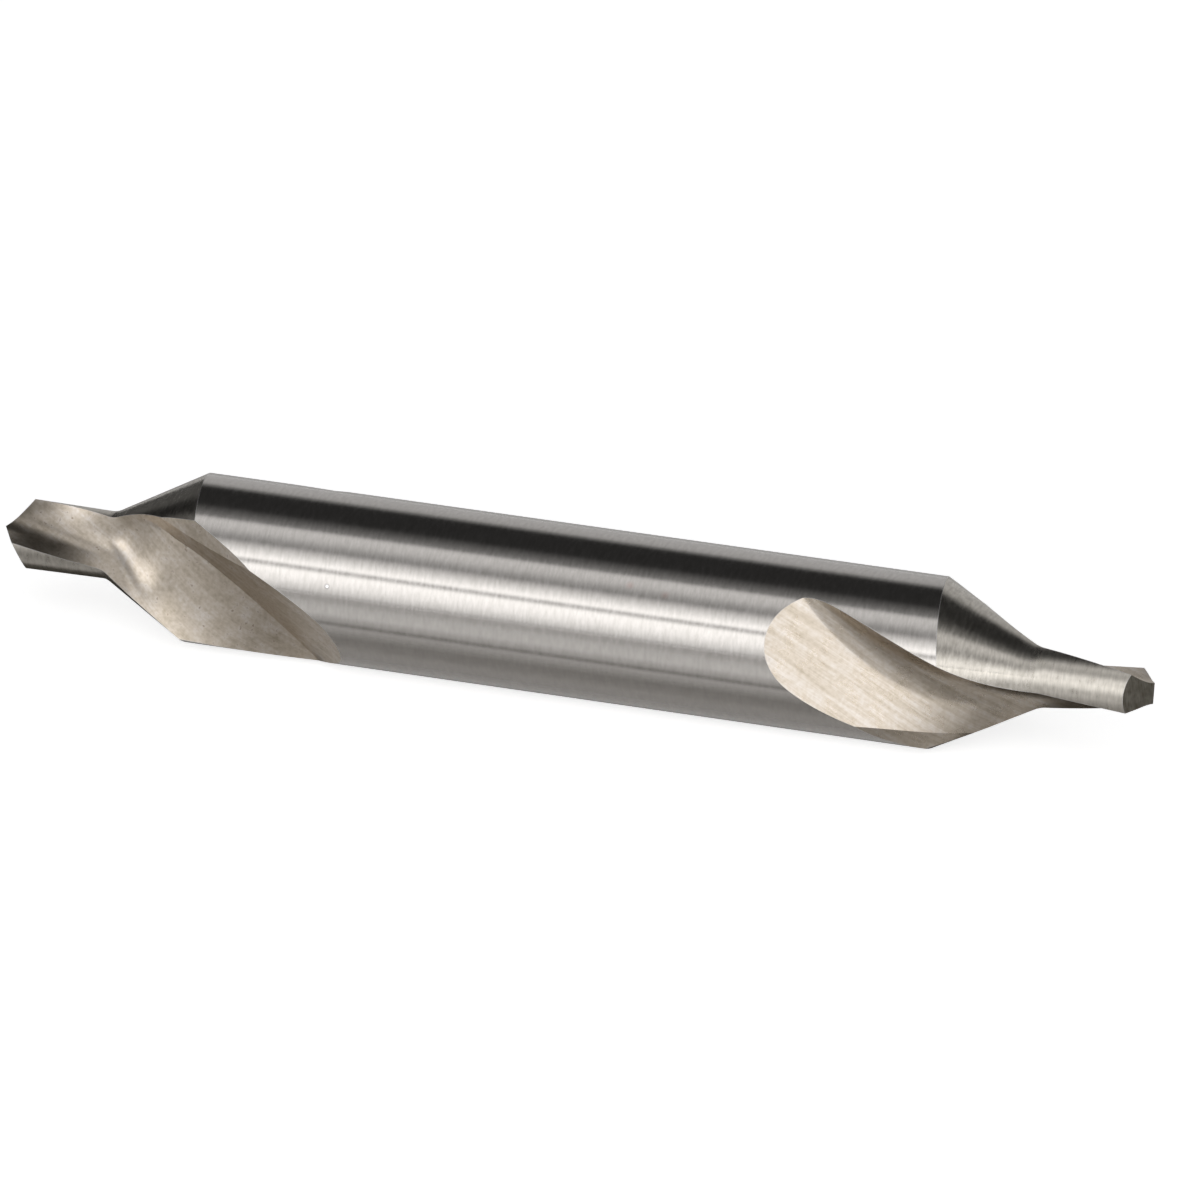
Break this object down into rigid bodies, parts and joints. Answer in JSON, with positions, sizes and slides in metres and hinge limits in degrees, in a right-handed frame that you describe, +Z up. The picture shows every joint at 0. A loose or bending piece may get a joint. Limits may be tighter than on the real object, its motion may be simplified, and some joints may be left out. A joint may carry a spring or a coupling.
{
  "type": "centre drill",
  "caption": "Double-ended steel centre drill: a ground round body with a short pilot drill, a countersink and ramped flutes at each end.",
  "frame": {"origin": "on the axis, at the middle of the tool's length", "axes": "+X along the axis, towards the end at the right of the picture; +Z up; the two ends are alike and either may lead"},
  "size_m": [0.044, 0.0063, 0.0064],
  "materials": {
    "ground_steel": "fine circular grinding, satin"
  },
  "bodies": {
    "root": {"centre_drill": "ground_steel"}
  },
  "joints": []
}
